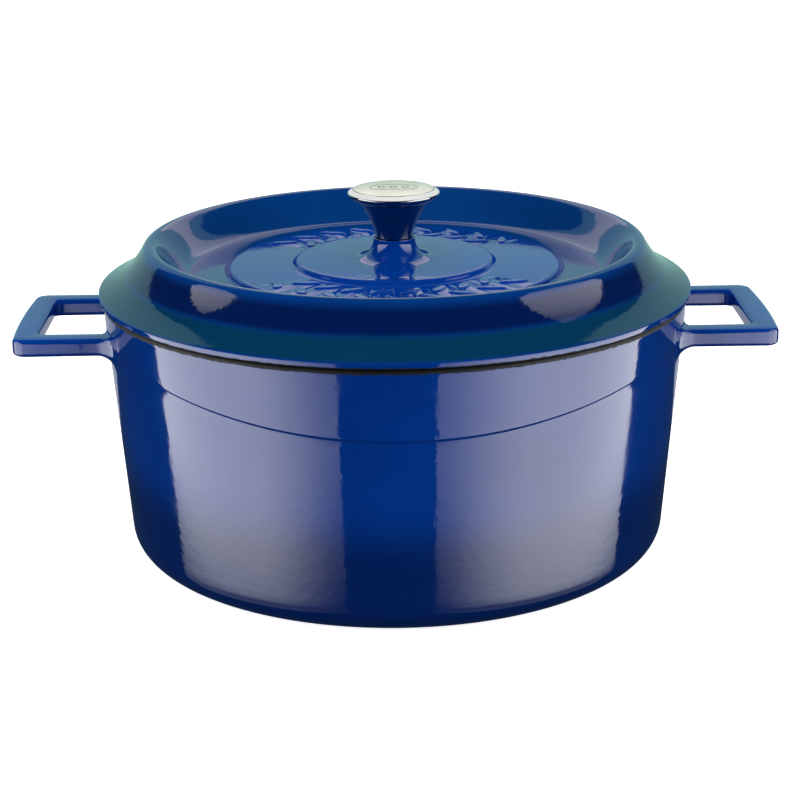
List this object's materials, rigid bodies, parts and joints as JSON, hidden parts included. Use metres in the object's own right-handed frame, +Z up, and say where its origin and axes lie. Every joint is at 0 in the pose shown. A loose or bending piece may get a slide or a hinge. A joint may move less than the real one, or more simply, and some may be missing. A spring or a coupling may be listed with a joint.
{
  "type": "dutch oven",
  "caption": "Round enamelled cast iron dutch oven with flat loop handles cast on and a loose lid that has a ring crest and a screwed metal knob.",
  "frame": {"origin": "on the table, on the pot's axis, at the middle of its flat base", "axes": "+Z up along the pot's axis, +X from the pot's axis through the middle of one handle"},
  "size_m": [0.3768, 0.295, 0.1826],
  "materials": {
    "cobalt_enamel": "gloss vitreous enamel, cobalt blue, with a faint orange peel",
    "black_enamel": "matte black enamel inside the pot, on its rim and under the lid",
    "polished_steel": "polished stainless steel",
    "brushed_steel": "fine circular brushing",
    "zinc_plate": "zinc plated",
    "spring_steel": "dark spring steel"
  },
  "bodies": {
    "pot": {"pot": "cobalt_enamel"},
    "lid_fastening": {"knob_screw": "zinc_plate", "flat_washer": "zinc_plate", "spring_washer": "spring_steel"},
    "lid": {"lid": "cobalt_enamel", "knob": "polished_steel", "knob_cap": "brushed_steel"}
  },
  "joints": [
    {"name": "lid_lift", "type": "slide", "parent": "pot", "child": "lid_fastening", "axis": [0, 0, 1], "range_m": [0, 0.2]},
    {"name": "lid_turn", "type": "hinge", "parent": "lid_fastening", "child": "lid", "pos_m": [0, 0, 0], "axis": [0, 0, 1], "continuous": true}
  ]
}
